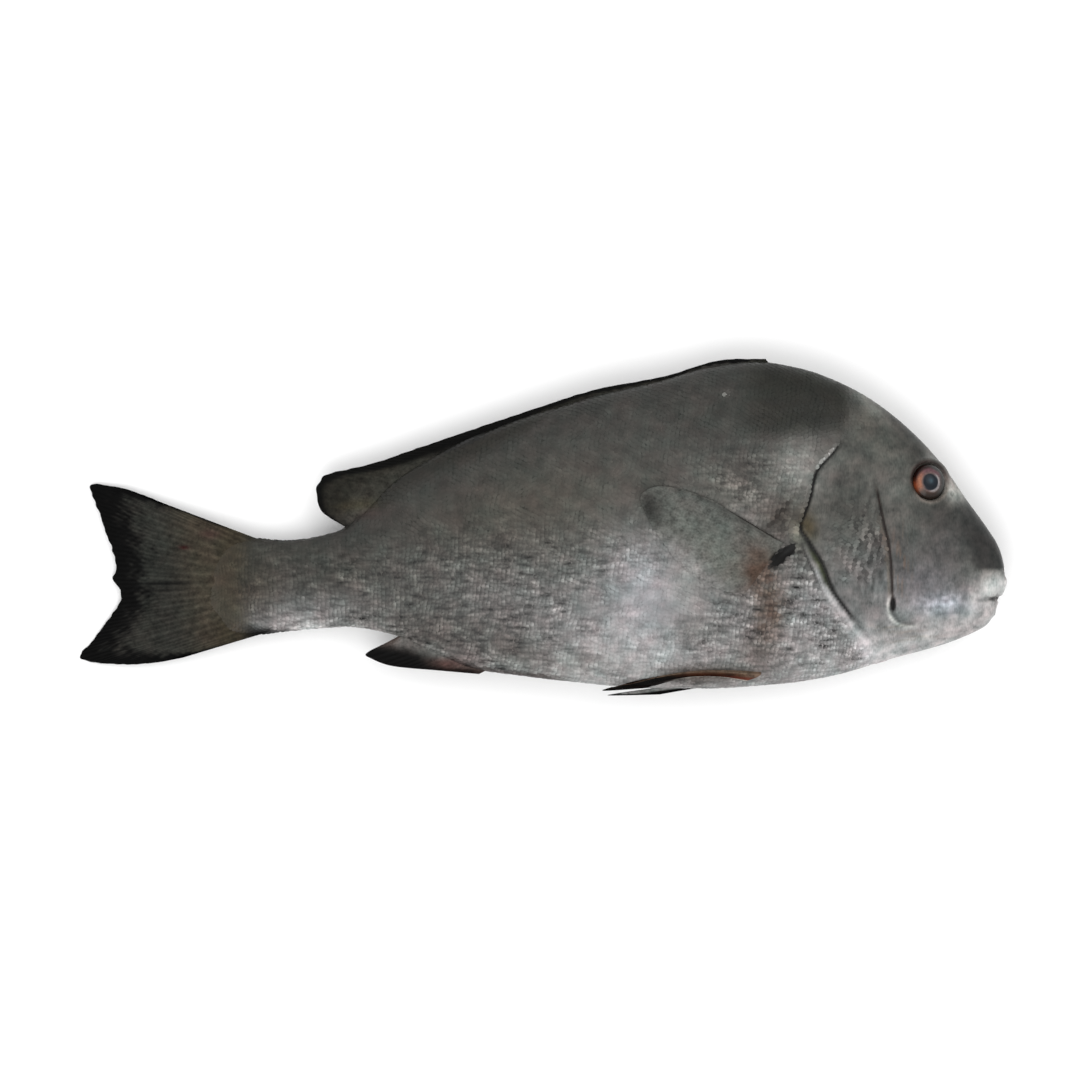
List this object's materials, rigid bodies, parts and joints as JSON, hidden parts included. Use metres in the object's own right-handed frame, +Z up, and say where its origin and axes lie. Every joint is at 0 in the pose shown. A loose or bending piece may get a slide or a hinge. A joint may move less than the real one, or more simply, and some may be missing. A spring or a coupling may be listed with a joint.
{
  "type": "whole raw fish",
  "caption": "Whole raw grey sea fish with head, fins and scales on, lying flat on its side with the tail drooping to the table.",
  "frame": {"origin": "centre of the fish's bounding box in plan, on the level that it lies on", "axes": "+X to the snout, along the body; +Y to the back of the fish, where the back fin is; +Z up, out of its right flank"},
  "size_m": [0.5502, 0.2, 0.0619],
  "materials": {
    "skin": "wet scaly fish skin, slate grey back, paler belly, blackish fins",
    "eye": "clear wet eye, reddish iris round a blue-black pupil"
  },
  "bodies": {
    "root": {"fish": "skin", "eye_right": "eye", "eye_left": "eye"}
  },
  "joints": []
}
